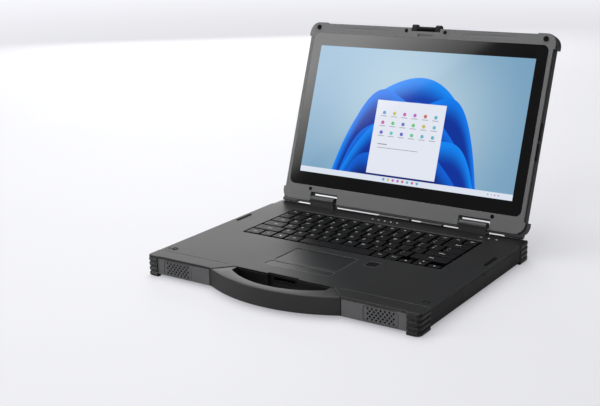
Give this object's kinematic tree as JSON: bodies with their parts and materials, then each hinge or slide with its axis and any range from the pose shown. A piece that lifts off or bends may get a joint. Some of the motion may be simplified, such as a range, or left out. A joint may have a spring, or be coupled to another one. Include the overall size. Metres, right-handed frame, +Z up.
{
  "type": "rugged laptop computer",
  "caption": "Rugged clamshell laptop with corner bumpers, front carry handle, full keyboard, touchpad with buttons, hinged lid with display and flip latch, and port covers.",
  "frame": {"origin": "on the table, under the middle of the open machine's bounding box", "axes": "+X to the user's right, +Y away from the user, +Z up"},
  "size_m": [0.3632, 0.3864, 0.2632],
  "materials": {
    "shell_plastic": "fine moulded grain",
    "deck_coating": "dark satin powder coat",
    "panel_coating": "grey satin coat",
    "handle_plastic": "dark grained plastic",
    "bumper_rubber": "matt black rubber",
    "black_plastic": "matt black",
    "pad_plastic": "smooth satin",
    "gloss_black": "polished",
    "steel": "nickel plated",
    "hinge_zinc": "satin dark grey",
    "circuit_board": "solder mask",
    "chip_black": "semi gloss",
    "copper": "copper",
    "battery_wrap": "film wrap",
    "key_plastic": "satin black with white legends",
    "shell_coating": "dark satin powder coat",
    "bezel_coating": "grey satin coat",
    "screen_glass": "black printed glass, lit picture behind",
    "display": "display module"
  },
  "bodies": {
    "base": {"bottom_shell": "shell_plastic", "battery_hatch": "shell_plastic", "top_deck": "deck_coating", "front_panel_left": "panel_coating", "front_panel_right": "panel_coating", "speaker_grilles": "panel_coating", "carry_handle": "handle_plastic", "bumper_front_left": "bumper_rubber", "bumper_front_right": "bumper_rubber", "bumper_rear_left": "bumper_rubber", "bumper_rear_right": "bumper_rubber", "keyboard_tray": "black_plastic", "touchpad": "pad_plastic", "fingerprint_reader": "gloss_black", "edge_strips": "black_plastic", "latch_striker": "steel", "hinge_blocks": "hinge_zinc", "rubber_feet": "bumper_rubber", "case_screws": "steel", "motherboard": "circuit_board", "processor": "chip_black", "heat_sink": "copper", "fan_housing": "black_plastic", "battery_pack": "battery_wrap", "solid_state_drive": "circuit_board", "memory_module": "circuit_board", "wireless_card": "circuit_board", "speakers": "black_plastic", "power_inlet": "black_plastic", "audio_jack": "black_plastic", "usb_ports": "steel", "network_port": "steel", "video_port": "steel"},
    "lid": {"lid_rear_shell": "shell_coating", "lid_bezel": "bezel_coating", "cover_glass": "screen_glass", "display_panel": "display", "webcam_module": "circuit_board", "lid_corner_bumpers": "bumper_rubber", "lid_stops": "bumper_rubber", "lid_edge_inserts": "black_plastic", "hinge_shafts": "steel", "display_cable": "copper", "latch_lugs": "black_plastic"},
    "latch": {"lid_latch": "black_plastic"},
    "fan": {"fan_rotor": "black_plastic"},
    "function_keys": {"keys_function_row": "key_plastic"},
    "number_keys": {"keys_number_row": "key_plastic"},
    "upper_keys": {"keys_upper_row": "key_plastic"},
    "home_keys": {"keys_home_row": "key_plastic"},
    "lower_keys": {"keys_lower_row": "key_plastic"},
    "bottom_keys": {"keys_bottom_row": "key_plastic"},
    "space_key": {"space_bar": "key_plastic"},
    "button_left": {"touchpad_button_left": "pad_plastic"},
    "button_right": {"touchpad_button_right": "pad_plastic"},
    "cover_right_front": {"port_cover_right_front": "bumper_rubber"},
    "cover_right_rear": {"port_cover_right_rear": "bumper_rubber"},
    "cover_left": {"port_cover_left": "bumper_rubber"},
    "cover_rear_wide": {"port_cover_rear_wide": "bumper_rubber"},
    "cover_rear_narrow": {"port_cover_rear_narrow": "bumper_rubber"}
  },
  "joints": [
    {"name": "lid_hinge", "type": "hinge", "parent": "base", "child": "lid", "pos_m": [0, 0.09957, 0.0295], "axis": [1, 0, 0], "range_deg": [-20, 110]},
    {"name": "latch_flip", "type": "hinge", "parent": "lid", "child": "latch", "pos_m": [0, 0.18196, 0.25821], "axis": [1, 0, 0], "range_deg": [0, 180]},
    {"name": "fan_spin", "type": "hinge", "parent": "base", "child": "fan", "pos_m": [-0.131, 0.03657, 0.01], "axis": [0, 0, 1], "continuous": true},
    {"name": "function_keys_press", "type": "slide", "parent": "base", "child": "function_keys", "axis": [0, 0, -1], "range_m": [0, 0.0018], "stiffness_N_per_m": 300, "springref_m": -0.0006},
    {"name": "number_keys_press", "type": "slide", "parent": "base", "child": "number_keys", "axis": [0, 0, -1], "range_m": [0, 0.0018], "stiffness_N_per_m": 300, "springref_m": -0.0006},
    {"name": "upper_keys_press", "type": "slide", "parent": "base", "child": "upper_keys", "axis": [0, 0, -1], "range_m": [0, 0.0018], "stiffness_N_per_m": 300, "springref_m": -0.0006},
    {"name": "home_keys_press", "type": "slide", "parent": "base", "child": "home_keys", "axis": [0, 0, -1], "range_m": [0, 0.0018], "stiffness_N_per_m": 300, "springref_m": -0.0006},
    {"name": "lower_keys_press", "type": "slide", "parent": "base", "child": "lower_keys", "axis": [0, 0, -1], "range_m": [0, 0.0018], "stiffness_N_per_m": 300, "springref_m": -0.0006},
    {"name": "bottom_keys_press", "type": "slide", "parent": "base", "child": "bottom_keys", "axis": [0, 0, -1], "range_m": [0, 0.0018], "stiffness_N_per_m": 300, "springref_m": -0.0006},
    {"name": "space_key_press", "type": "slide", "parent": "base", "child": "space_key", "axis": [0, 0, -1], "range_m": [0, 0.0018], "stiffness_N_per_m": 300, "springref_m": -0.0006},
    {"name": "button_left_press", "type": "slide", "parent": "base", "child": "button_left", "axis": [0, 0, -1], "range_m": [0, 0.0008], "stiffness_N_per_m": 400, "springref_m": -0.0004},
    {"name": "button_right_press", "type": "slide", "parent": "base", "child": "button_right", "axis": [0, 0, -1], "range_m": [0, 0.0008], "stiffness_N_per_m": 400, "springref_m": -0.0004},
    {"name": "cover_right_front_hinge", "type": "hinge", "parent": "base", "child": "cover_right_front", "pos_m": [0.1806, -0.04678, 0.006], "axis": [0, 1, 0], "range_deg": [0, 100]},
    {"name": "cover_right_rear_hinge", "type": "hinge", "parent": "base", "child": "cover_right_rear", "pos_m": [0.1806, 0.01652, 0.006], "axis": [0, 1, 0], "range_deg": [0, 100]},
    {"name": "cover_left_hinge", "type": "hinge", "parent": "base", "child": "cover_left", "pos_m": [-0.1806, -0.06643, 0.006], "axis": [0, -1, 0], "range_deg": [0, 100]},
    {"name": "cover_rear_wide_hinge", "type": "hinge", "parent": "base", "child": "cover_rear_wide", "pos_m": [-0.006, 0.11227, 0.006], "axis": [-1, 0, 0], "range_deg": [0, 100]},
    {"name": "cover_rear_narrow_hinge", "type": "hinge", "parent": "base", "child": "cover_rear_narrow", "pos_m": [0.048, 0.11227, 0.006], "axis": [-1, 0, 0], "range_deg": [0, 100]}
  ]
}
